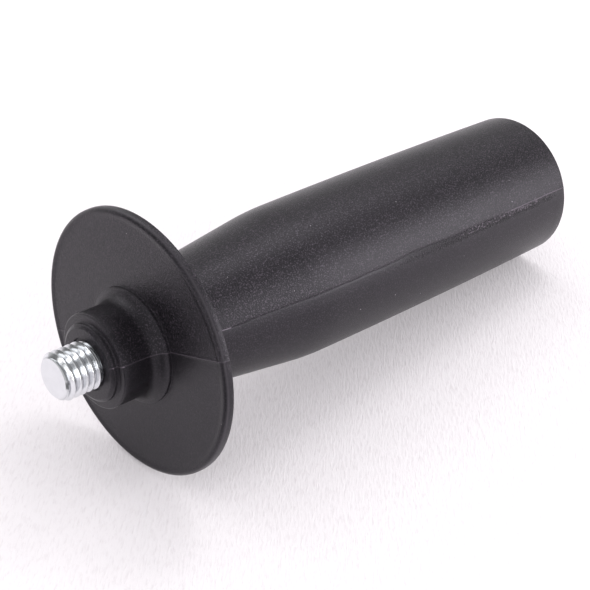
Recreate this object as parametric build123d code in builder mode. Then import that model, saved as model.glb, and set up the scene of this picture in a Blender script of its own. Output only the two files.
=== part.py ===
from build123d import *
import os
from math import cos, radians, sin, sqrt, tan

# Side handle of a hand-held power tool: one moulding of black plastic round a steel hex-head bolt.
# Millimetres. The handle stands on its open rear end, with its axis on +Z and the threaded stud at the top.
# The origin is the centre of the rear face.

# Grip and neck
grip_length = 115.2  # rear face to the back of the flange
rear_diameter = 33.6
barrel_diameter = 34.1  # half way from the rear face to the knee
knee_diameter = 33.4
neck_length = 36.3  # taper, from the knee to the back of the flange
neck_diameter = 24.0  # where the taper meets the flange
knee_blend_radius = 60.0
rear_edge_chamfer = 0.3

# Flange that keeps the hand off the tool
flange_diameter = 56.2
flange_thickness = 1.7
rim_land = 0.2  # height of the thin upright edge
rim_edge_chamfer = 0.1
rim_crown_width = 2.0  # rounded margin of the front face, out to the thin edge
neck_fillet = 2.0  # between the neck and the back of the flange

# Boss and pilot step in front of the flange
boss_diameter = 19.7
boss_height = 9.7  # flange's front face to the shoulder
boss_edge_chamfer = 0.35
collar_radius = 3.1  # hollow curve at the foot of the boss
collar_end_angle = 15.0  # how far from square to the axis that curve ends, in degrees
collar_step = 0.7  # height of the collar's crisp outer edge above the flange
pilot_diameter = 16.0
pilot_height = 1.4
pilot_root_chamfer = 0.25  # between the pilot and the shoulder
pilot_chamfer_width = 0.7
pilot_chamfer_height = 0.5
stud_recess_diameter = 10.8
stud_recess_depth = 0.4

# Hollow grip, cored from the rear
wall_thickness = 3.0
floor_chamfer = 1.2
mouth_chamfer = 0.4

# Stud: bolt with an M10 thread and a hex head, moulded in with its head's back face flush with the floor
thread_diameter = 10.0
shank_diameter = 9.0  # the blank that the thread is rolled on
stud_length = 30.0  # under the head
stud_exposed = 8.0  # beyond the pilot's face
thread_runout = 0.3  # bare shank between the pilot's face and the thread
stud_tip_chamfer = 1.0
head_across_flats = 17.0
head_height = 6.4
head_face_ratio = 0.95  # round flat on the head's back, as a share of the width across flats
head_chamfer_angle = 30.0  # degrees

# Heights along the axis
flange_back = grip_length
flange_front = flange_back + flange_thickness
rim_height = flange_back + rim_land
shoulder_height = flange_front + boss_height
pilot_face = shoulder_height + pilot_height
knee_height = grip_length - neck_length
stud_tip = pilot_face + stud_exposed
head_seat = stud_tip - stud_length
hollow_floor = head_seat - head_height
thread_start = pilot_face + thread_runout

# Radii
rear_radius = rear_diameter / 2
barrel_radius = barrel_diameter / 2
knee_radius = knee_diameter / 2
neck_radius = neck_diameter / 2
flange_radius = flange_diameter / 2
boss_radius = boss_diameter / 2
pilot_radius = pilot_diameter / 2
thread_radius = thread_diameter / 2
shank_radius = shank_diameter / 2

# The curve at the foot of the boss leaves the boss upright and ends one step above the flange.
collar_turn = radians(90 - collar_end_angle)
collar_edge_radius = boss_radius + collar_radius * (1 - cos(collar_turn))
collar_edge_height = flange_front + collar_step
collar_top_height = collar_edge_height + collar_radius * sin(collar_turn)
collar_mid_radius = boss_radius + collar_radius * (1 - cos(collar_turn / 2))
collar_mid_height = collar_top_height - collar_radius * sin(collar_turn / 2)

# The rim's rounded margin is an arc that leaves the front face flat and ends at the top of the thin edge.
crown_start_radius = flange_radius - rim_crown_width
crown_drop = flange_thickness - rim_land
crown_arc_radius = (rim_crown_width**2 + crown_drop**2) / (2 * crown_drop)
crown_mid_radius = flange_radius - rim_crown_width / 2
crown_mid_height = flange_front - crown_arc_radius + sqrt(crown_arc_radius**2 - (rim_crown_width / 2) ** 2)

# A cone takes the corners off the back of the bolt's head.
head_face_radius = head_across_flats / 2 * head_face_ratio
head_corner_radius = head_across_flats / 2 / cos(radians(30))
head_chamfer_height = (head_corner_radius - head_face_radius) * tan(radians(head_chamfer_angle))

os.makedirs("parts", exist_ok=True)

# Hex-head bolt, head down and point up
with BuildPart() as stud:
    with BuildSketch(Plane.XY.offset(hollow_floor)):
        RegularPolygon(head_across_flats / 2, 6, major_radius=False)
    extrude(amount=head_height)
    with BuildSketch(Plane.XZ):
        with BuildLine():
            Polyline(
                (0, hollow_floor),
                (head_face_radius, hollow_floor),
                (head_corner_radius, hollow_floor + head_chamfer_height),
                (head_corner_radius, head_seat),
                (0, head_seat),
                close=True,
            )
        make_face()
    revolve(axis=Axis.Z, mode=Mode.INTERSECT)
    with BuildSketch(Plane.XY.offset(head_seat)):
        Circle(shank_radius)
    extrude(amount=thread_start - head_seat)
    with BuildSketch(Plane.XY.offset(thread_start)):
        Circle(thread_radius)
    extrude(amount=stud_tip - thread_start)
    tip_edge = stud.edges().filter_by(GeomType.CIRCLE).sort_by(Axis.Z)[-1]
    chamfer(tip_edge, length=stud_tip_chamfer)
stud.part.label = "stud"

# Core of the hollow grip: one wall inside the outer form, ending at the back of the bolt's head
with BuildPart() as core:
    with BuildSketch(Plane.XZ):
        with BuildLine():
            Polyline(
                (0, 0),
                (rear_radius - wall_thickness, 0),
                (knee_radius - wall_thickness, knee_height),
                (neck_radius - wall_thickness, flange_back),
                (0, flange_back),
                close=True,
            )
        make_face()
    revolve(axis=Axis.Z)
    split(bisect_by=Plane.XY.offset(hollow_floor), keep=Keep.BOTTOM)
    core_end = core.faces().sort_by(Axis.Z)[-1]
    chamfer(core_end.edges(), length=floor_chamfer)

# The moulding: one turned section, then the core, the room of the bolt and the recess round it are taken out
with BuildPart() as handle:
    with BuildSketch(Plane.XZ) as section:
        with BuildLine():
            Line((0, 0), (rear_radius, 0))
            ThreePointArc((rear_radius, 0), (barrel_radius, knee_height / 2), (knee_radius, knee_height))
            Polyline(
                (knee_radius, knee_height),
                (neck_radius, flange_back),
                (flange_radius, flange_back),
                (flange_radius, rim_height),
            )
            ThreePointArc(
                (flange_radius, rim_height),
                (crown_mid_radius, crown_mid_height),
                (crown_start_radius, flange_front),
            )
            Polyline(
                (crown_start_radius, flange_front),
                (collar_edge_radius, flange_front),
                (collar_edge_radius, collar_edge_height),
            )
            ThreePointArc(
                (collar_edge_radius, collar_edge_height),
                (collar_mid_radius, collar_mid_height),
                (boss_radius, collar_top_height),
            )
            Polyline(
                (boss_radius, collar_top_height),
                (boss_radius, shoulder_height),
                (pilot_radius, shoulder_height),
                (pilot_radius, pilot_face - pilot_chamfer_height),
                (pilot_radius - pilot_chamfer_width, pilot_face),
                (0, pilot_face),
                (0, 0),
            )
        make_face()
        for corner, radius in (
            ((knee_radius, knee_height), knee_blend_radius),
            ((neck_radius, flange_back), neck_fillet),
        ):
            fillet(section.vertices().sort_by_distance(corner)[0], radius=radius)
        for corner, width in (
            ((rear_radius, 0), rear_edge_chamfer),
            ((flange_radius, flange_back), rim_edge_chamfer),
            ((boss_radius, shoulder_height), boss_edge_chamfer),
            ((pilot_radius, shoulder_height), pilot_root_chamfer),
        ):
            chamfer(section.vertices().sort_by_distance(corner)[0], length=width)
    revolve(axis=Axis.Z)
    add(core.part, mode=Mode.SUBTRACT)
    mouth_edge = handle.edges().group_by(Axis.Z)[0].sort_by(SortBy.RADIUS)[0]
    chamfer(mouth_edge, length=mouth_chamfer)
    add(stud.part, mode=Mode.SUBTRACT)
    with BuildSketch(Plane.XY.offset(pilot_face)):
        Circle(stud_recess_diameter / 2)
    extrude(amount=-stud_recess_depth, mode=Mode.SUBTRACT)
handle.part.label = "handle"

export_step(handle.part, "parts/handle.step")
export_step(stud.part, "parts/stud.step")
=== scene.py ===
import math

import bmesh
import bpy
from mathutils import Matrix, Quaternion, Vector


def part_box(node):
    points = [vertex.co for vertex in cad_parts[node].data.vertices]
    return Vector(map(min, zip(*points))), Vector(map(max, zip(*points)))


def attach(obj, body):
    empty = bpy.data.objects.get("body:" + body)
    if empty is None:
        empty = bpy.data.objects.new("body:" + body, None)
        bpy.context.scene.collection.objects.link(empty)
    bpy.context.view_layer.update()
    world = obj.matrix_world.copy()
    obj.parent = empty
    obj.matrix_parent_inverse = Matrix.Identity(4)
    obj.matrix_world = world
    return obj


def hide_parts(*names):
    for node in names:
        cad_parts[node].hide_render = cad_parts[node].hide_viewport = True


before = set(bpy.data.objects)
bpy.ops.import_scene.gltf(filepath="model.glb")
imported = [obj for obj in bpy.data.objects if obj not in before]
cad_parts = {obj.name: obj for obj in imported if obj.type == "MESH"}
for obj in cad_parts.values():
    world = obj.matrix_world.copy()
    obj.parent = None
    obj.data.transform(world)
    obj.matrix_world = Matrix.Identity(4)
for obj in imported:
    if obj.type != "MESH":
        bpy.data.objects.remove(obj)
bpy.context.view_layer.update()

# Side handle of a hand-held power tool: one moulding of black nylon round a zinc-plated bolt.
# Sizes are in millimetres and angles in degrees. The axis is Z, with the stud at the top.
mm = 0.001
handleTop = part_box("handle")[1] / mm
boltBottom, boltTop = (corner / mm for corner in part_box("stud"))
print("frame loaded, nodes:", sorted(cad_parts))


def only(piece):
    bpy.ops.object.select_all(action="DESELECT")
    piece.select_set(True)
    bpy.context.view_layer.objects.active = piece


def newPiece(name):  # names the primitive just added and puts its place into its mesh
    piece = bpy.context.object
    piece.name = piece.data.name = name
    bpy.ops.object.transform_apply(location=True, rotation=True, scale=True)
    return piece


def openMesh(piece):
    only(piece)
    bpy.ops.object.mode_set(mode="EDIT")
    bpy.ops.mesh.select_mode(type="VERT")


def closeMesh():
    bpy.ops.object.mode_set(mode="OBJECT")


def pickEdges(test):  # selects the open mesh's edges whose two ends both pass the test
    bpy.ops.mesh.select_mode(type="EDGE")
    bpy.ops.mesh.select_all(action="DESELECT")
    mesh = bmesh.from_edit_mesh(bpy.context.object.data)
    for edge in mesh.edges:
        if all(test(point.co / mm) for point in edge.verts):
            edge.select_set(True)
    bmesh.update_edit_mesh(bpy.context.object.data)


def onRing(radius, height, slack=0.003):
    return lambda p: abs(p.xy.length - radius) < slack and abs(p.z - height) < slack


def pullRing(ring, radius, height):  # extrudes the selected ring to a new radius and height
    rise = (height - ring["height"]) * mm
    bpy.ops.mesh.extrude_region_move(TRANSFORM_OT_translate={"value": (0, 0, rise)})
    grow = radius / ring["radius"]
    bpy.ops.transform.resize(value=(grow, grow, 1), center_override=(0, 0, height * mm))
    ring.update(radius=radius, height=height)


def roundRing(radius, height, width, segments=4):
    pickEdges(onRing(radius, height))
    bpy.ops.mesh.bevel(offset=width * mm, segments=segments, affect="EDGES")


def applyModifier(piece, kind, **settings):
    only(piece)
    modifier = piece.modifiers.new(kind.title(), kind)
    for name, value in settings.items():
        setattr(modifier, name, value)
    bpy.ops.object.modifier_apply(modifier=modifier.name)


def cutWith(piece, cutter, operation="DIFFERENCE"):
    applyModifier(piece, "BOOLEAN", object=cutter, operation=operation, solver="EXACT")
    bpy.data.objects.remove(cutter)


# Moulding: grip, neck, flange, boss and pilot, hollow from the rear
moulding = {
    "sides": 192,
    "rearRadius": 16.8,
    "barrelRadius": 17.05,  # half way up the barrel
    "kneeRadius": 16.7,
    "kneeHeight": 78.9,
    "kneeBlend": 60.0,
    "kneeGap": 0.2,  # keeps the nearest rings out of that blend
    "barrelRings": 26,
    "neckRadius": 12.0,
    "neckRings": 13,
    "neckFillet": 2.0,
    "flangeRadius": handleTop.x - 0.05,  # leaves room for the parting line
    "flangeBack": 115.2,
    "flangeFront": 116.9,
    "rimLand": 0.6,
    "rimCrown": 1.1,
    "crownRings": 8,
    "lip": 0.18,  # the rim's rounded edge stands this much proud of the front face
    "lipWidth": 0.8,
    "faceRings": (23.6, 21.2, 19.0, 17.0, 15.2, 13.6),  # radii on the flange's front face
    "collarRadius": 3.1,
    "collarTurn": 75.0,
    "collarStep": 0.7,
    "collarRings": 9,
    "bossRadius": 9.85,
    "bossRings": (122.0, 123.6, 125.2),  # heights on the boss
    "shoulder": 126.6,
    "pilotRadius": 8.0,
    "pilotRoot": 0.25,
    "pilotChamfer": (0.7, 0.5),
    "pilotFace": handleTop.z,
    "recessRadius": 5.4,
    "recessDepth": 0.4,
    "mouthRadius": 13.8,
    "mouthChamfer": 0.4,
    "coreKneeRadius": 13.7,
    "coreFloor": boltBottom.z,
    "coreFloorRadius": 11.02,
    "floorFillet": 1.2,
    # widths of the small rounded edges, from the rear to the front
    "mouthEdge": 0.1,
    "rearEdge": 0.35,
    "rimBackEdge": 0.12,
    "rimFrontEdge": 0.05,
    "lipEdge": 0.25,
    "lipFootEdge": 0.3,
    "collarFootEdge": 0.15,
    "collarEdge": 0.06,
    "shoulderEdge": 0.35,
    "pilotEdge": 0.12,
}


def makeMoulding(size):
    bpy.ops.object.select_all(action="DESELECT")
    mouth = size["mouthRadius"] + size["mouthChamfer"]
    bpy.ops.mesh.primitive_circle_add(vertices=size["sides"], radius=mouth * mm)
    piece = newPiece("handle_moulding")
    openMesh(piece)
    bpy.ops.mesh.select_all(action="SELECT")
    ring = {"radius": mouth, "height": 0}

    # barrel with a slight belly, then the neck; both stop short of the blend at the knee
    belly = size["barrelRadius"] - (size["rearRadius"] + size["kneeRadius"]) / 2
    barrelSlope = (size["kneeRadius"] - size["rearRadius"] - 4 * belly) / size["kneeHeight"]
    neckSlope = (size["neckRadius"] - size["kneeRadius"]) / (size["flangeBack"] - size["kneeHeight"])
    kneeTurn = math.atan(barrelSlope) - math.atan(neckSlope)
    kneeReach = size["kneeBlend"] * math.tan(kneeTurn / 2)
    pullRing(ring, size["rearRadius"], 0)
    for step in range(1, size["barrelRings"] + 1):
        height = (size["kneeHeight"] - kneeReach - size["kneeGap"]) * step / size["barrelRings"]
        along = height / size["kneeHeight"]
        straight = size["rearRadius"] + (size["kneeRadius"] - size["rearRadius"]) * along
        pullRing(ring, straight + 4 * belly * along * (1 - along), height)
    pullRing(ring, size["kneeRadius"], size["kneeHeight"])
    neckFoot = size["kneeHeight"] + kneeReach + size["kneeGap"]
    for step in range(size["neckRings"] + 1):
        height = neckFoot + (size["flangeBack"] - neckFoot) * step / size["neckRings"]
        pullRing(ring, size["kneeRadius"] + neckSlope * (height - size["kneeHeight"]), height)

    # flange
    pullRing(ring, size["flangeRadius"], size["flangeBack"])
    pullRing(ring, size["flangeRadius"], size["flangeBack"] + size["rimLand"])
    crownTop = size["flangeFront"] + size["lip"]
    drop = crownTop - size["flangeBack"] - size["rimLand"]
    arc = (size["rimCrown"] ** 2 + drop**2) / (2 * drop)
    crownTurn = math.asin(size["rimCrown"] / arc)
    crownFoot = size["flangeRadius"] - size["rimCrown"]
    for step in range(1, size["crownRings"] + 1):
        turn = crownTurn * (1 - step / size["crownRings"])
        pullRing(ring, crownFoot + arc * math.sin(turn), crownTop - arc * (1 - math.cos(turn)))
    pullRing(ring, crownFoot - size["lipWidth"], size["flangeFront"])
    for radius in size["faceRings"]:
        pullRing(ring, radius, size["flangeFront"])

    # collar with its crisp step, then the boss
    collarTurn = math.radians(size["collarTurn"])
    collarWide = size["bossRadius"] + size["collarRadius"] * (1 - math.cos(collarTurn))
    collarFoot = size["flangeFront"] + size["collarStep"]
    collarTop = collarFoot + size["collarRadius"] * math.sin(collarTurn)
    pullRing(ring, collarWide, size["flangeFront"])
    pullRing(ring, collarWide, collarFoot)
    for step in range(1, size["collarRings"] + 1):
        turn = collarTurn * (1 - step / size["collarRings"])
        radius = size["bossRadius"] + size["collarRadius"] * (1 - math.cos(turn))
        pullRing(ring, radius, collarTop - size["collarRadius"] * math.sin(turn))
    for height in (*size["bossRings"], size["shoulder"]):
        pullRing(ring, size["bossRadius"], height)

    # shoulder and pilot
    rootOuter = size["pilotRadius"] + size["pilotRoot"]
    rootTop = size["shoulder"] + size["pilotRoot"]
    chamferWidth, chamferHeight = size["pilotChamfer"]
    pullRing(ring, rootOuter, size["shoulder"])
    pullRing(ring, size["pilotRadius"], rootTop)
    pullRing(ring, size["pilotRadius"], size["pilotFace"] - chamferHeight)
    pullRing(ring, size["pilotRadius"] - chamferWidth, size["pilotFace"])
    pullRing(ring, size["recessRadius"], size["pilotFace"])

    # rounded edges
    neckTurn = math.pi / 2 + math.atan(neckSlope)
    roundRing(size["rearRadius"], 0, size["rearEdge"])
    roundRing(size["kneeRadius"], size["kneeHeight"], kneeReach, 8)
    roundRing(size["neckRadius"], size["flangeBack"], size["neckFillet"] * math.tan(neckTurn / 2), 8)
    roundRing(size["flangeRadius"], size["flangeBack"], size["rimBackEdge"], 3)
    roundRing(size["flangeRadius"], size["flangeBack"] + size["rimLand"], size["rimFrontEdge"], 2)
    roundRing(crownFoot, crownTop, size["lipEdge"], 3)
    roundRing(crownFoot - size["lipWidth"], size["flangeFront"], size["lipFootEdge"], 3)
    roundRing(collarWide, size["flangeFront"], size["collarFootEdge"], 3)
    roundRing(collarWide, collarFoot, size["collarEdge"], 2)
    roundRing(size["bossRadius"], size["shoulder"], size["shoulderEdge"])
    roundRing(rootOuter, size["shoulder"], size["pilotEdge"], 3)
    roundRing(size["pilotRadius"], rootTop, size["pilotEdge"], 3)
    roundRing(size["pilotRadius"], size["pilotFace"] - chamferHeight, size["pilotEdge"], 3)
    roundRing(size["pilotRadius"] - chamferWidth, size["pilotFace"], size["pilotEdge"], 3)
    closeMesh()
    return piece


def carveCore(piece, size):  # the hollow grip, and the recess round the stud
    openMesh(piece)
    pickEdges(onRing(size["recessRadius"], size["pilotFace"]))
    ring = {"radius": size["recessRadius"], "height": size["pilotFace"]}
    pullRing(ring, size["recessRadius"], size["pilotFace"] - size["recessDepth"])
    bpy.ops.mesh.edge_face_add()
    mouth = size["mouthRadius"] + size["mouthChamfer"]
    pickEdges(onRing(mouth, 0))
    ring = {"radius": mouth, "height": 0}
    pullRing(ring, size["mouthRadius"], size["mouthChamfer"])
    pullRing(ring, size["coreKneeRadius"], size["kneeHeight"])
    pullRing(ring, size["coreFloorRadius"], size["coreFloor"])
    bpy.ops.mesh.edge_face_add()
    roundRing(size["coreFloorRadius"], size["coreFloor"], size["floorFillet"], 5)
    roundRing(size["mouthRadius"], size["mouthChamfer"], size["mouthEdge"], 2)
    bpy.ops.mesh.select_all(action="SELECT")
    bpy.ops.mesh.normals_make_consistent(inside=False)
    closeMesh()


# Parting line of the two mould halves, down both sides
seam = {
    "halfWidth": 0.13,
    "stopsShort": (0.3, 0.1),  # of the rear face and of the pilot's face, where it isn't raised
    # height up the handle, and how proud the line is there: along most of the grip it has torn to a notch
    "proud": (
        (0, 0.25), (1, 0.2), (2.9, 0.07), (21, 0.07), (23, -0.06),
        (101.5, -0.06), (102.2, -0.14), (103.2, -0.14), (104, 0.1), (106, 0.1),
        (109, 0.05), (126.2, 0.05), (126.4, 0.1), (126.6, 0.05), (128, 0.06),
    ),
    "proudOnRim": 0.05,  # at most
    # height, and how whitened it is there, with a painted highlight along the ridge
    "paleAndHighlight": (
        (0, 0.7), (19, 0.6), (23, 0), (103, 0), (104, 1), (105.5, 1), (107, 0.2),
        (126.2, 0.2), (126.3, 1), (126.5, 1), (126.57, 0.2),
        (127.4, 0.2), (127.52, 1), (127.62, 1), (127.7, 0.2), (128, 0.2),
    ),
    "reach": 14.0,  # degrees to either side that follow its wander
    "swell": 0.1,  # the front of the handle stands a little proud along it
    # height, and how far the line strays there, in degrees
    "wander": (
        (0, 0.6), (10, 0.8), (22, 0.75), (31, 0.93), (42.6, 0.8), (48, 1.9), (53.3, 2.35), (59, 1.0),
        (63, 0.55), (67, 1.05), (71, 0.45), (75.5, 1.0), (83.5, 0.7), (87, 1.3), (94, 1.35), (96.2, 1.65),
        (100.9, 0.9), (102.3, 1.2), (103.9, 2.05), (108, 1.1), (115.2, 0.4), (119, 0.8), (123, 1.7),
        (126.6, 1.7), (128, 0.8),
    ),
}

# Wear of the flange's rim, and a painted highlight on it
rimWearAndHighlight = {
    "inset": 0.4,  # the rim starts this far inside its lip
    "lean": 60.0,  # it is rubbed, and carries a painted highlight, most where the surface leans by this angle
    "leanRange": 24.0,  # and not at all this far from it
    "side": -8.0,  # it starts here across the handle, towards the side that the right softbox lights
    "sideRange": 22.0,  # and is full this much further on
}


def between(points, height):  # eases from one point of the list to the next
    if not points[0][0] < height < points[-1][0]:
        return points[0][1] if height <= points[0][0] else points[-1][1]
    for (low, before), (high, after) in zip(points, points[1:]):
        if low <= height <= high:
            along = (height - low) / (high - low)
            return before + (after - before) * along * along * (3 - 2 * along)


def raiseSeam(piece, size):  # and marks the half of the moulding above it, the rim's wear and painted highlight, and the pale flash with its painted highlight
    openMesh(piece)
    rearRing = size["rearRadius"] - size["rearEdge"] - 0.05
    pickEdges(
        lambda p: abs(p.y) < 1e-4
        and not (p.z < 1e-3 and p.xy.length < rearRing)
        and p.z < size["pilotFace"] - 1e-3
    )
    bpy.ops.mesh.bevel(offset=seam["halfWidth"] * mm, segments=2, affect="EDGES")
    bpy.ops.mesh.select_all(action="SELECT")
    bpy.ops.mesh.normals_make_consistent(inside=False)
    mesh = bmesh.from_edit_mesh(piece.data)
    upperHalf = mesh.faces.layers.float.new("upperHalf")
    whiteningAndHighlight = mesh.faces.layers.float.new("whiteningAndHighlight")
    for face in mesh.faces:
        middle = face.calc_center_median() / mm
        face[upperHalf] = float(middle.y > 0)
        # along the parting line: whitened flash, and a painted highlight on the ridge's top
        onLine = any(abs(point.co.y) < 1e-7 for point in face.verts)
        if onLine and 0.01 < middle.z < size["pilotFace"] - 0.01:
            face[whiteningAndHighlight] = between(seam["paleAndHighlight"], middle.z)
    # the rim's wear and painted highlight, strongest at one lean and towards the lit side
    wearAndHighlight = mesh.verts.layers.float.new("wearAndHighlight")
    rimStart = size["flangeRadius"] - size["rimCrown"] - size["lipWidth"] - rimWearAndHighlight["inset"]
    above, below = seam["stopsShort"]
    for point in mesh.verts:
        radius, height = point.co.xy.length / mm, point.co.z / mm
        if radius > rimStart:
            lean = math.degrees(point.normal.angle(Vector((0, 0, 1))))
            side = min(max((point.co.x / mm - rimWearAndHighlight["side"]) / rimWearAndHighlight["sideRange"], 0), 1)
            point[wearAndHighlight] = max(1 - abs(lean - rimWearAndHighlight["lean"]) / rimWearAndHighlight["leanRange"], 0) * side
        if abs(point.co.y) < 1e-7 and above < height < size["pilotFace"] - below:
            proud = between(seam["proud"], height)
            if radius > rimStart:
                proud = min(proud, seam["proudOnRim"])
            point.co += point.normal * proud * mm
        angle = math.degrees(math.atan2(point.co.y, point.co.x))
        side = 0 if abs(angle) < 90 else math.copysign(180, angle)
        near = 1 - abs(angle - side) / seam["reach"]
        if near > 0:
            if height > size["flangeFront"] - 0.01 and radius < rimStart:
                point.co += point.normal * seam["swell"] * near * mm
            turn = between(seam["wander"], height) * near * near
            point.co.rotate(Quaternion((0, 0, 1), math.radians(turn)))
    bmesh.update_edit_mesh(piece.data)
    closeMesh()


# Bolt: M10 thread rolled on a hex-head blank, moulded into the front of the handle
bolt = {
    "crestRadius": 5.0,
    "pitch": 1.5,
    "rootRadius": 4.08,
    "rootRound": 0.06,  # the flank ends this far out from the root
    "flankShare": 0.93,  # at this share of its full height
    "shankRadius": 4.5,
    "headBack": boltBottom.z,
    "headSeat": 106.0,
    "headFlats": 17.0,
    "headFace": 0.95,  # round flat on its back, as a share of the flats
    "headChamfer": 30.0,
    "threadFoot": 127.65,
    "runOut": (0.1, 0.6),  # above its foot, where the thread starts and where it is full
    "lead": 0.51,  # turns the thread to where the photograph has it
    "tip": boltTop.z,
    "tipChamfer": 1.0,
    "turnSteps": 120,
    "room": 0.02,  # by which the turned blank clears the crests and the tip
    "cut": (0.6, 1.0),  # its cutter reaches this far past the head's back and the pilot's face
}


def turnBlank(name, sides, outline):  # a closed turned piece, from the radius and height of each ring
    bpy.ops.object.select_all(action="DESELECT")
    radius, height = outline[0]
    bpy.ops.mesh.primitive_circle_add(vertices=sides, radius=radius * mm, location=(0, 0, height * mm))
    piece = newPiece(name)
    openMesh(piece)
    bpy.ops.mesh.select_all(action="SELECT")
    bpy.ops.mesh.edge_face_add()
    ring = {"radius": radius, "height": height}
    for radius, height in outline[1:]:
        pullRing(ring, radius, height)
    bpy.ops.mesh.select_all(action="SELECT")
    bpy.ops.mesh.normals_make_consistent(inside=False)
    closeMesh()
    return piece


def makeHead(name, size, back, top):  # hex head and shank, from below its back face up to the given height
    corner = size["headFlats"] / 2 / math.cos(math.radians(30))
    face = size["headFlats"] / 2 * size["headFace"]
    wide = corner + 0.5  # clear of the corners
    bevelHeight = (wide - face) * math.tan(math.radians(size["headChamfer"]))
    bpy.ops.object.select_all(action="DESELECT")
    bpy.ops.mesh.primitive_cylinder_add(
        vertices=6, radius=corner * mm, depth=(size["headSeat"] - back + 1) * mm,
        location=(0, 0, (size["headSeat"] + back - 1) / 2 * mm), rotation=(0, 0, math.radians(30)),
    )
    head = newPiece(name)
    outline = [(face, back)] if back == size["headBack"] else [(face, back), (face, size["headBack"])]
    outline += [(wide, size["headBack"] + bevelHeight), (wide, size["headSeat"] + 1)]
    cutWith(head, turnBlank("head_chamfer", 96, outline), "INTERSECT")
    outline = [(size["shankRadius"], size["headSeat"] - 2), (size["shankRadius"], top)]
    cutWith(head, turnBlank("shank", 96, outline), "UNION")
    return head


def makeBolt(size):
    # one pitch of the thread's outline, wound up
    pitch, crest, root = size["pitch"], size["crestRadius"], size["rootRadius"]
    flank = (crest - root) * math.tan(math.radians(30))
    flat = pitch / 16  # half of the flat on the crest
    flankEnd = (root + size["rootRound"], flat + flank * size["flankShare"])
    outline = [(crest, 0), (crest, flat), flankEnd, (root, pitch / 2)]
    outline += [(radius, pitch - height) for radius, height in reversed(outline[:-1])]
    bpy.ops.object.select_all(action="DESELECT")
    bpy.ops.mesh.primitive_plane_add(size=mm)
    piece = newPiece("steel_stud")
    openMesh(piece)
    bpy.ops.mesh.select_all(action="SELECT")
    bpy.ops.mesh.merge(type="CENTER")
    bpy.ops.transform.translate(value=(crest * mm, 0, (size["threadFoot"] - 2 * pitch - size["lead"]) * mm))
    for (radius, height), (nextRadius, nextHeight) in zip(outline, outline[1:]):
        step = ((nextRadius - radius) * mm, 0, (nextHeight - height) * mm)
        bpy.ops.mesh.extrude_region_move(TRANSFORM_OT_translate={"value": step})
    closeMesh()
    turns = math.ceil((size["tip"] - size["threadFoot"]) / pitch) + 4
    applyModifier(
        piece, "SCREW", angle=2 * math.pi, screw_offset=pitch * mm, iterations=turns, axis="Z",
        steps=size["turnSteps"], render_steps=size["turnSteps"],
        use_merge_vertices=True, merge_threshold=1e-6,
    )
    openMesh(piece)
    bpy.ops.mesh.select_all(action="SELECT")
    bpy.ops.mesh.remove_doubles(threshold=1e-6)
    for height, above in ((size["tip"], True), (size["threadFoot"] - 0.5, False)):
        bpy.ops.mesh.select_all(action="SELECT")
        bpy.ops.mesh.bisect(
            plane_co=(0, 0, height * mm), plane_no=(0, 0, 1), use_fill=True,
            clear_outer=above, clear_inner=not above, threshold=1e-8,
        )
    bpy.ops.mesh.select_all(action="SELECT")
    bpy.ops.mesh.normals_make_consistent(inside=False)
    closeMesh()

    # chamfered tip and run-out at the foot, turned from one blank, then the head and shank
    foot, wide = size["threadFoot"], crest + size["room"]
    starts, full = size["runOut"]
    outline = [(size["shankRadius"], foot - 1), (size["shankRadius"], foot + starts), (wide, foot + full)]
    outline += [
        (wide, size["tip"] - size["tipChamfer"]),
        (wide - size["tipChamfer"], size["tip"] + size["room"]),
    ]
    cutWith(piece, turnBlank("turned_blank", 96, outline), "INTERSECT")
    cutWith(piece, makeHead("hex_head", size, size["headBack"], foot), "UNION")
    return piece


def shade(piece, angle=35):
    only(piece)
    bpy.ops.object.shade_smooth_by_angle(angle=math.radians(angle))


mouldingPiece = makeMoulding(moulding)
raiseSeam(mouldingPiece, moulding)
carveCore(mouldingPiece, moulding)
behind, ahead = bolt["cut"]
insertRoom = makeHead("insert_room", bolt, bolt["headBack"] - behind, moulding["pilotFace"] + ahead)
cutWith(mouldingPiece, insertRoom)
shade(mouldingPiece)
print("moulding:", len(mouldingPiece.data.polygons), "faces")
boltPiece = makeBolt(bolt)
shade(boltPiece)
print("bolt:", len(boltPiece.data.polygons), "faces")


# Materials
def fromHex(code):
    channels = [int(code[i : i + 2], 16) / 255 for i in (1, 3, 5)]
    return [*(c / 12.92 if c <= 0.04045 else ((c + 0.055) / 1.055) ** 2.4 for c in channels), 1]


def addNode(tree, kind, settings=(), links=()):  # sockets go by name, or by number where names repeat
    node = tree.nodes.new(kind)
    for name, value in dict(settings).items():
        if isinstance(name, int) or name in node.inputs.keys():
            node.inputs[name].default_value = value
        else:
            setattr(node, name, value)
    for name, output in dict(links).items():
        tree.links.new(output, node.inputs[name])
    return node


def newMaterial(name):
    material = bpy.data.materials.new(name)
    material.use_nodes = True
    material.node_tree.nodes.clear()
    return material, material.node_tree


def perMillimetre(size):  # texture scale at which one cell is this many millimetres
    return 1 / (size * mm)


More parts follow.
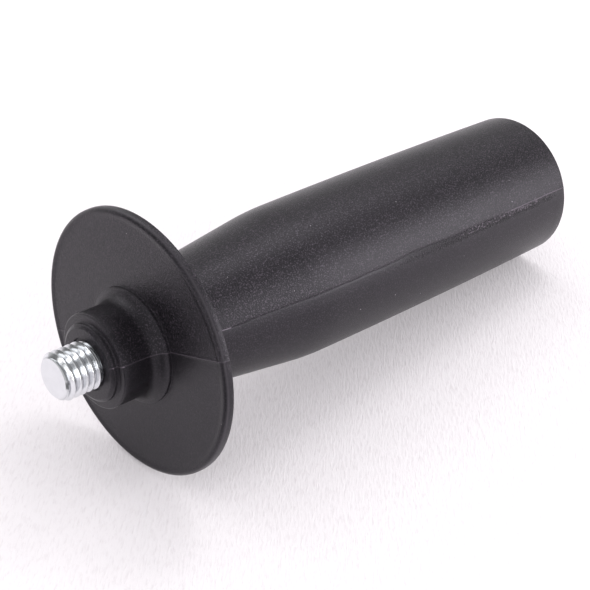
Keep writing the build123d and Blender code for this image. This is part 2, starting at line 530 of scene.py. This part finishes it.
# Black glass-filled nylon from a spark-eroded mould: near black, a little warm, with a dull broad gloss.
# The two mould halves don't match: the upper one left a coarse, glinting grain and the lower one is satin.
nylon = {
    "black": ("#08080a", "#100e12"),  # the melt drifts from one to the other
    "flow": 9.0,  # size of that drift
    "tint": "#f9f3ff",
    "roughness": 0.34,
    "roughnessDrift": 0.05,
    "ior": 1.43,
    "grain": 0.3,  # about twice the real grit, so that it shows
    "grainDepth": 0.08,
    "fibreAndGlint": "#5f5560",  # fibre ends that show between the grains, and painted glints of the grain
    "fibreAndGlintFrom": (0.51, 0.78),  # heights of the grain at which they start and are full
    "satin": 0.5,  # share of the grain on the lower half
    "front": (115.0, 116.8, 0.6),  # from this height to this it falls to this share, towards the boss
    "whiteningAndHighlight": "#6a616b",  # thin plastic whitens along the parting line; on the ridge it is also a painted highlight
    "wearAndHighlight": "#3c393d",  # where handling has rubbed the rim, and a painted highlight on its lit side
    # torn skin, in a ragged strip just under the parting line, near the rear end
    "torn": 0.55,  # size of its crumbs
    "tornDepth": 0.5,
    "tornRagged": 1.6,
    "tornAcross": (-0.7, 0.2),
    "tornStart": (2.0, 7.0),  # heights between which it sets in
    "tornEnd": (66.0, 35.0),  # and between which it dies out, towards the knee
    "crumbsFrom": (0.52, 0.62),  # heights of the torn skin at which it whitens
    "dustCell": 4.0,
    "dustRadius": 0.11,
    "dust": "#a59fa6",
}


def makeNylon(values):
    material, tree = newMaterial("moulded_black_nylon")
    place = addNode(tree, "ShaderNodeTexCoord").outputs["Object"]
    upper = addNode(tree, "ShaderNodeAttribute", {"attribute_name": "upperHalf"}).outputs["Fac"]
    # whitened flash, and a painted highlight along the parting line
    whiteningAndHighlight = addNode(tree, "ShaderNodeAttribute", {"attribute_name": "whiteningAndHighlight"}).outputs["Fac"]
    # the rim's wear and painted highlight
    wearAndHighlight = addNode(tree, "ShaderNodeAttribute", {"attribute_name": "wearAndHighlight"}).outputs["Fac"]
    along = addNode(tree, "ShaderNodeSeparateXYZ", (), {"Vector": place}).outputs
    grain = addNode(
        tree, "ShaderNodeTexNoise",
        {"Scale": perMillimetre(values["grain"]), "Detail": 3.0, "Roughness": 0.65},
        {"Vector": place},
    )
    coarse = addNode(
        tree, "ShaderNodeMapRange",
        {"To Min": values["grainDepth"] * values["satin"] * mm, "To Max": values["grainDepth"] * mm},
        {"Value": upper},
    )
    skin = addNode(
        tree, "ShaderNodeMath", {"operation": "MULTIPLY"},
        {0: grain.outputs["Fac"], 1: coarse.outputs["Result"]},
    )

    # torn skin, on the lower half only
    torn = addNode(
        tree, "ShaderNodeTexNoise",
        {"Scale": perMillimetre(values["torn"]), "Detail": 3.0, "Roughness": 0.7},
        {"Vector": place},
    )
    ragged = addNode(
        tree, "ShaderNodeMath", {"operation": "MULTIPLY_ADD", 1: values["tornRagged"] * mm},
        {0: torn.outputs["Fac"], 2: along["Y"]},
    )
    lower = addNode(tree, "ShaderNodeMath", {"operation": "SUBTRACT", 0: 1.0}, {1: upper})
    mask = lower.outputs["Value"]
    for (none, full), measure in (
        (values["tornAcross"], ragged.outputs["Value"]),
        (values["tornStart"], along["Z"]),
        (values["tornEnd"], along["Z"]),
    ):
        share = addNode(
            tree, "ShaderNodeMapRange", {"From Min": none * mm, "From Max": full * mm}, {"Value": measure}
        )
        step = addNode(
            tree, "ShaderNodeMath", {"operation": "MULTIPLY"}, {0: mask, 1: share.outputs["Result"]}
        )
        mask = step.outputs["Value"]
    tornHeight = addNode(
        tree, "ShaderNodeMath", {"operation": "MULTIPLY"}, {0: torn.outputs["Fac"], 1: mask}
    )
    height = addNode(
        tree, "ShaderNodeMath", {"operation": "MULTIPLY_ADD", 1: values["tornDepth"] * mm},
        {0: tornHeight.outputs["Value"], 2: skin.outputs["Value"]},
    )
    bump = addNode(
        tree, "ShaderNodeBump", {"Strength": 1.0, "Distance": 1.0}, {"Height": height.outputs["Value"]}
    )

    # a slow drift in colour and gloss from the flow of the melt, then the glass fibres with painted glints
    flow = addNode(
        tree, "ShaderNodeTexNoise",
        {"Scale": perMillimetre(values["flow"]), "Detail": 2.0},
        {"Vector": place},
    )
    black, paler = values["black"]
    shadeOfBlack = addNode(
        tree, "ShaderNodeMix", {"data_type": "RGBA", 6: fromHex(black), 7: fromHex(paler)},
        {0: flow.outputs["Fac"]},
    )
    drift = values["roughnessDrift"]
    gloss = addNode(
        tree, "ShaderNodeMapRange",
        {"To Min": values["roughness"] - drift, "To Max": values["roughness"] + drift},
        {"Value": flow.outputs["Fac"]},
    )
    least, most = values["fibreAndGlintFrom"]
    # fibre ends and painted glints, where the grain stands highest
    fibreAndGlintShare = addNode(
        tree, "ShaderNodeMapRange", {"From Min": least, "From Max": most}, {"Value": grain.outputs["Fac"]}
    )
    amount = addNode(
        tree, "ShaderNodeMapRange", {"To Min": values["satin"], "To Max": 1.0}, {"Value": upper}
    )
    low, high, share = values["front"]
    forward = addNode(
        tree, "ShaderNodeMapRange",
        {"From Min": low * mm, "From Max": high * mm, "To Min": 1.0, "To Max": share},
        {"Value": along["Z"]},
    )
    lessened = addNode(
        tree, "ShaderNodeMath", {"operation": "MULTIPLY"},
        {0: amount.outputs["Result"], 1: forward.outputs["Result"]},
    )
    fibreAndGlintShown = addNode(
        tree, "ShaderNodeMath", {"operation": "MULTIPLY"},
        {0: fibreAndGlintShare.outputs["Result"], 1: lessened.outputs["Value"]},
    )

    # over the black, one on the other: fibres with painted glints, wear of the rim with a painted
    # highlight, flash with a painted highlight along the parting line, crumbs of the torn skin, dust
    least, most = values["crumbsFrom"]
    crumbs = addNode(
        tree, "ShaderNodeMapRange", {"From Min": least, "From Max": most},
        {"Value": tornHeight.outputs["Value"]},
    )
    dust = addNode(
        tree, "ShaderNodeTexVoronoi", {"Scale": perMillimetre(values["dustCell"])}, {"Vector": place}
    )
    speck = addNode(
        tree, "ShaderNodeMath", {"operation": "LESS_THAN", 1: values["dustRadius"] / values["dustCell"]},
        {0: dust.outputs["Distance"]},
    )
    colour = shadeOfBlack.outputs[2]
    for finish, cover in (
        # fibre ends and painted glints
        ("fibreAndGlint", fibreAndGlintShown.outputs["Value"]),
        # the rim's wear and painted highlight
        ("wearAndHighlight", wearAndHighlight),
        # whitened flash and painted highlight along the parting line
        ("whiteningAndHighlight", whiteningAndHighlight),
        ("whiteningAndHighlight", crumbs.outputs["Result"]),
        ("dust", speck.outputs["Value"]),
    ):
        layer = addNode(
            tree, "ShaderNodeMix", {"data_type": "RGBA", 7: fromHex(values[finish])}, {0: cover, 6: colour}
        )
        colour = layer.outputs[2]
    shader = addNode(
        tree, "ShaderNodeBsdfPrincipled", {"IOR": values["ior"], "Specular Tint": fromHex(values["tint"])},
        {
            "Base Color": colour,
            "Roughness": gloss.outputs["Result"],
            "Normal": bump.outputs["Normal"],
        },
    )
    addNode(tree, "ShaderNodeOutputMaterial", (), {"Surface": shader.outputs["BSDF"]})
    return material


# Bright zinc plate over rolled steel: a soft mirror, a little bluish, with fine rolling marks round the
# thread, and darker in its roots.
zinc = {
    "colour": "#e9ebee",
    "dull": "#dcdee1",
    "dullSpots": 1.5,
    "dullFrom": (0.3, 0.7),  # depths of the spots between which the gloss goes
    "roughness": (0.15, 0.26),
    "marks": (0.12, 0.9),  # length of the rolling marks along the bolt and round it
    "markDepth": 0.01,
    "rootColour": "#b0b2b6",  # darker in the roots of the thread
    "rootRadii": (4.42, 4.1),  # it starts at the first and is full at the second
    "rootHeights": (127.0, 135.8),  # the thread, without the tip's face and the back of the head
}


def makeZinc(values):
    material, tree = newMaterial("bright_zinc_plate")
    place = addNode(tree, "ShaderNodeTexCoord").outputs["Object"]
    along, across = values["marks"]
    stretched = addNode(
        tree, "ShaderNodeMapping",
        {"Scale": (perMillimetre(across), perMillimetre(across), perMillimetre(along))},
        {"Vector": place},
    )
    marks = addNode(
        tree, "ShaderNodeTexNoise", {"Scale": 1.0, "Detail": 2.0}, {"Vector": stretched.outputs["Vector"]}
    )
    bump = addNode(
        tree, "ShaderNodeBump", {"Strength": 1.0, "Distance": values["markDepth"] * mm},
        {"Height": marks.outputs["Fac"]},
    )
    wear = addNode(
        tree, "ShaderNodeTexNoise",
        {"Scale": perMillimetre(values["dullSpots"]), "Detail": 3.0},
        {"Vector": place},
    )
    colour = addNode(
        tree, "ShaderNodeMix",
        {"data_type": "RGBA", 6: fromHex(values["colour"]), 7: fromHex(values["dull"])},
        {0: wear.outputs["Fac"]},
    )
    least, most = values["dullFrom"]
    bright, matt = values["roughness"]
    gloss = addNode(
        tree, "ShaderNodeMapRange",
        {"From Min": least, "From Max": most, "To Min": bright, "To Max": matt},
        {"Value": wear.outputs["Fac"]},
    )

    # darker in the thread's roots, by the distance from the axis
    aside = addNode(tree, "ShaderNodeVectorMath", {"operation": "MULTIPLY", 1: (1, 1, 0)}, {0: place})
    radius = addNode(tree, "ShaderNodeVectorMath", {"operation": "LENGTH"}, {0: aside.outputs["Vector"]})
    clean, full = values["rootRadii"]
    root = addNode(
        tree, "ShaderNodeMapRange", {"From Min": clean * mm, "From Max": full * mm},
        {"Value": radius.outputs["Value"]},
    )
    height = addNode(tree, "ShaderNodeSeparateXYZ", (), {"Vector": place}).outputs["Z"]
    foot, top = values["rootHeights"]
    onThread = addNode(
        tree, "ShaderNodeMath",
        {"operation": "COMPARE", 1: (foot + top) / 2 * mm, 2: (top - foot) / 2 * mm},
        {0: height},
    )
    rootShare = addNode(
        tree, "ShaderNodeMath", {"operation": "MULTIPLY"},
        {0: root.outputs["Result"], 1: onThread.outputs["Value"]},
    )
    rootDarkened = addNode(
        tree, "ShaderNodeMix", {"data_type": "RGBA", 7: fromHex(values["rootColour"])},
        {0: rootShare.outputs["Value"], 6: colour.outputs[2]},
    )
    shader = addNode(
        tree, "ShaderNodeBsdfPrincipled", {"Metallic": 1.0},
        {
            "Base Color": rootDarkened.outputs[2],
            "Roughness": gloss.outputs["Result"],
            "Normal": bump.outputs["Normal"],
        },
    )
    addNode(tree, "ShaderNodeOutputMaterial", (), {"Surface": shader.outputs["BSDF"]})
    return material


mouldingPiece.data.materials.append(makeNylon(nylon))
boltPiece.data.materials.append(makeZinc(zinc))
for piece, node, finish in (
    (mouldingPiece, "handle", "black_nylon"),
    (boltPiece, "stud", "zinc_plated_steel"),
):
    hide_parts(node)
    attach(piece, "root")
print("materials made")

# Where the handle lies in the picture: on the rims of its flange and its rear end
table = {
    "normal": Vector((0.345, 0.933, 0.0986)).normalized(),
    "touches": Vector((-9.8, -26.5, 115.5)),
    "side": 6000,
    "colour": "#f7f2f6",
    "crease": "#ece6ea",
    "wrinkle": (0.5, 2.6),  # width and length of the fine wrinkles in it
    "wrinkleTurn": 44.0,
    "wrinkleDepth": 0.14,
    "creaseFrom": (0.5, 0.75),  # heights of the wrinkles at which the crease's colour starts and is full
    "lift": 0.18,  # how far its shadows are lightened to the eye
}


def seenDirectly(tree):  # 1 for what the eye, gloss and glass see, 0 for light
    rays = addNode(tree, "ShaderNodeLightPath").outputs
    seen = rays["Is Camera Ray"]
    for kind in ("Is Glossy Ray", "Is Transmission Ray"):
        either = addNode(tree, "ShaderNodeMath", {"operation": "MAXIMUM"}, {0: seen, 1: rays[kind]})
        seen = either.outputs["Value"]
    return seen


def makeTable(values):
    bpy.ops.object.select_all(action="DESELECT")
    bpy.ops.mesh.primitive_plane_add(size=values["side"] * mm)
    floor = bpy.context.object
    floor.name = "studio_table"
    floor.rotation_mode = "QUATERNION"
    floor.rotation_quaternion = values["normal"].to_track_quat("Z", "Y")
    floor.location = values["touches"] * mm
    material, tree = newMaterial("studio_paper")
    place = addNode(tree, "ShaderNodeTexCoord").outputs["Object"]
    width, length = values["wrinkle"]
    stretched = addNode(
        tree, "ShaderNodeMapping",
        {
            "vector_type": "TEXTURE", "Rotation": (0, 0, math.radians(values["wrinkleTurn"])),
            "Scale": (width * mm, length * mm, width * mm),
        },
        {"Vector": place},
    )
    wrinkles = addNode(
        tree, "ShaderNodeTexNoise", {"Scale": 1.0, "Detail": 3.0, "Roughness": 0.6, "Distortion": 0.4},
        {"Vector": stretched.outputs["Vector"]},
    )
    least, most = values["creaseFrom"]
    creased = addNode(
        tree, "ShaderNodeMapRange", {"From Min": least, "From Max": most},
        {"Value": wrinkles.outputs["Fac"]},
    )
    white = addNode(
        tree, "ShaderNodeMix",
        {"data_type": "RGBA", 6: fromHex(values["colour"]), 7: fromHex(values["crease"])},
        {0: creased.outputs["Result"]},
    )
    bump = addNode(
        tree, "ShaderNodeBump", {"Strength": 1.0, "Distance": values["wrinkleDepth"] * mm},
        {"Height": wrinkles.outputs["Fac"]},
    )
    paper = addNode(
        tree, "ShaderNodeBsdfDiffuse", (), {"Color": white.outputs[2], "Normal": bump.outputs["Normal"]}
    )
    glow = addNode(tree, "ShaderNodeEmission", {"Strength": 1.0}, {"Color": white.outputs[2]})
    lift = addNode(
        tree, "ShaderNodeMath", {"operation": "MULTIPLY", 1: values["lift"]}, {0: seenDirectly(tree)}
    )
    seen = addNode(
        tree, "ShaderNodeMixShader", (),
        {"Fac": lift.outputs["Value"], 1: paper.outputs["BSDF"], 2: glow.outputs["Emission"]},
    )
    # from underneath it is clear, so that it never hides the part
    under = addNode(tree, "ShaderNodeNewGeometry")
    clear = addNode(tree, "ShaderNodeBsdfTransparent")
    both = addNode(
        tree, "ShaderNodeMixShader", (),
        {"Fac": under.outputs["Backfacing"], 1: seen.outputs["Shader"], 2: clear.outputs["BSDF"]},
    )
    addNode(tree, "ShaderNodeOutputMaterial", (), {"Surface": both.outputs["Shader"]})
    floor.data.materials.append(material)


# Lamps: size, distance and power, with the way to each given from the middle of the handle
lookAt = Vector((1.38, -3.55, 75.05))
lamps = {
    "right_softbox": {"towards": (0.78, -0.05, -0.6), "distance": 700, "size": (500, 500), "watts": 3.0},
    "low_softbox": {"towards": (0.8, -0.2, 0.56), "distance": 600, "size": (300, 160), "watts": 0.3},
    "upper_softbox": {"towards": (0.2, 0.89, -0.4), "distance": 500, "size": (180, 180), "watts": 0.45},
    "top_softbox": {"towards": (-0.45, 0.85, 0.1), "distance": 900, "size": (700, 700), "watts": 2.0},
}


def addLamp(name, values):
    data = bpy.data.lights.new(name, "AREA")
    data.shape = "RECTANGLE"
    data.size, data.size_y = (side * mm for side in values["size"])
    data.energy = values["watts"]
    lamp = bpy.data.objects.new(name, data)
    bpy.context.scene.collection.objects.link(lamp)
    towards = Vector(values["towards"]).normalized()
    lamp.location = (lookAt + towards * values["distance"]) * mm
    lamp.rotation_mode = "QUATERNION"
    lamp.rotation_quaternion = towards.to_track_quat("Z", "Y")
    lamp.visible_camera = False


# Cards that only reflections see. The dark ones stand for the unlit side of the studio, where the camera
# is, and the bright ones for gaps in it. Measures run from the stud's tip: across and ahead of it along
# the table, and above it.
cards = {
    "dark_left": {"across": (-430, -150), "ahead": (250, 252), "above": (-20, 220), "strength": 0.16},
    "dark_middle": {"across": (-82, -50), "ahead": (250, 252), "above": (0, 220), "strength": 0.05},
    "dark_low": {"across": (28, 300), "ahead": (10, 260), "above": (-30, -29), "strength": 0.2},
    "bright_left": {"across": (-150, -82), "ahead": (250, 252), "above": (5, 150), "strength": 1.8},
    "bright_right": {"across": (-50, 50), "ahead": (250, 252), "above": (-14, 60), "strength": 1.8},
}


def addCard(name, values):
    up = table["normal"]
    ahead = (Vector((0, 0, 1)) - up * up.z).normalized()
    across = up.cross(ahead)
    spans = [values["across"], values["ahead"], values["above"]]
    bpy.ops.object.select_all(action="DESELECT")
    bpy.ops.mesh.primitive_cube_add(size=1)
    card = bpy.context.object
    card.name = name
    card.scale = [(high - low) * mm for low, high in spans]
    middle = [(high + low) / 2 for low, high in spans]
    tip = Vector((0, 0, boltTop.z))
    card.location = (tip + across * middle[0] + ahead * middle[1] + up * middle[2]) * mm
    card.rotation_mode = "QUATERNION"
    card.rotation_quaternion = Matrix((across, ahead, up)).transposed().to_quaternion()
    card.visible_camera = card.visible_diffuse = card.visible_shadow = card.visible_transmission = False
    material, tree = newMaterial(name)
    glow = addNode(tree, "ShaderNodeEmission", {"Strength": values["strength"]})
    addNode(tree, "ShaderNodeOutputMaterial", (), {"Surface": glow.outputs["Emission"]})
    card.data.materials.append(material)


# White all round: what the eye, gloss and glass see, and what lights the rest
world = {"seen": 0.56, "light": 0.95}


def makeWorld(values):
    studio = bpy.data.worlds.new("studio")
    bpy.context.scene.world = studio
    studio.use_nodes = True
    tree = studio.node_tree
    tree.nodes.clear()
    light = addNode(tree, "ShaderNodeBackground", {"Color": (1, 1, 1, 1), "Strength": values["light"]})
    backdrop = addNode(tree, "ShaderNodeBackground", {"Color": (1, 1, 1, 1), "Strength": values["seen"]})
    both = addNode(
        tree, "ShaderNodeMixShader", (),
        {"Fac": seenDirectly(tree), 1: light.outputs["Background"], 2: backdrop.outputs["Background"]},
    )
    addNode(tree, "ShaderNodeOutputWorld", (), {"Surface": both.outputs["Shader"]})


# Camera, fitted to the photograph's outline
camera = {
    "lens": 88.229,
    "sensor": 36,
    "azimuth": 111.2,
    "elevation": 37.781,
    "roll": -113.64,
    "distance": 310.27,
    "clip": (10, 20000),
}


def makeCamera(values):
    data = bpy.data.cameras.new("camera")
    data.lens, data.sensor_width = values["lens"], values["sensor"]
    data.clip_start, data.clip_end = (reach * mm for reach in values["clip"])
    eye = bpy.data.objects.new("camera", data)
    bpy.context.scene.collection.objects.link(eye)
    azimuth, elevation = math.radians(values["azimuth"]), math.radians(values["elevation"])
    back = Vector(
        (
            math.sin(azimuth) * math.cos(elevation),
            -math.cos(azimuth) * math.cos(elevation),
            math.sin(elevation),
        )
    )
    eye.location = (lookAt + back * values["distance"]) * mm
    eye.rotation_mode = "QUATERNION"
    roll = Quaternion((0, 0, 1), math.radians(values["roll"]))
    eye.rotation_quaternion = back.to_track_quat("Z", "Y") @ roll
    bpy.context.scene.camera = eye


makeTable(table)
for name, values in cards.items():
    addCard(name, values)
for name, values in lamps.items():
    addLamp(name, values)
makeWorld(world)
makeCamera(camera)
bpy.context.scene.view_settings.view_transform = "Standard"
print("studio ready")
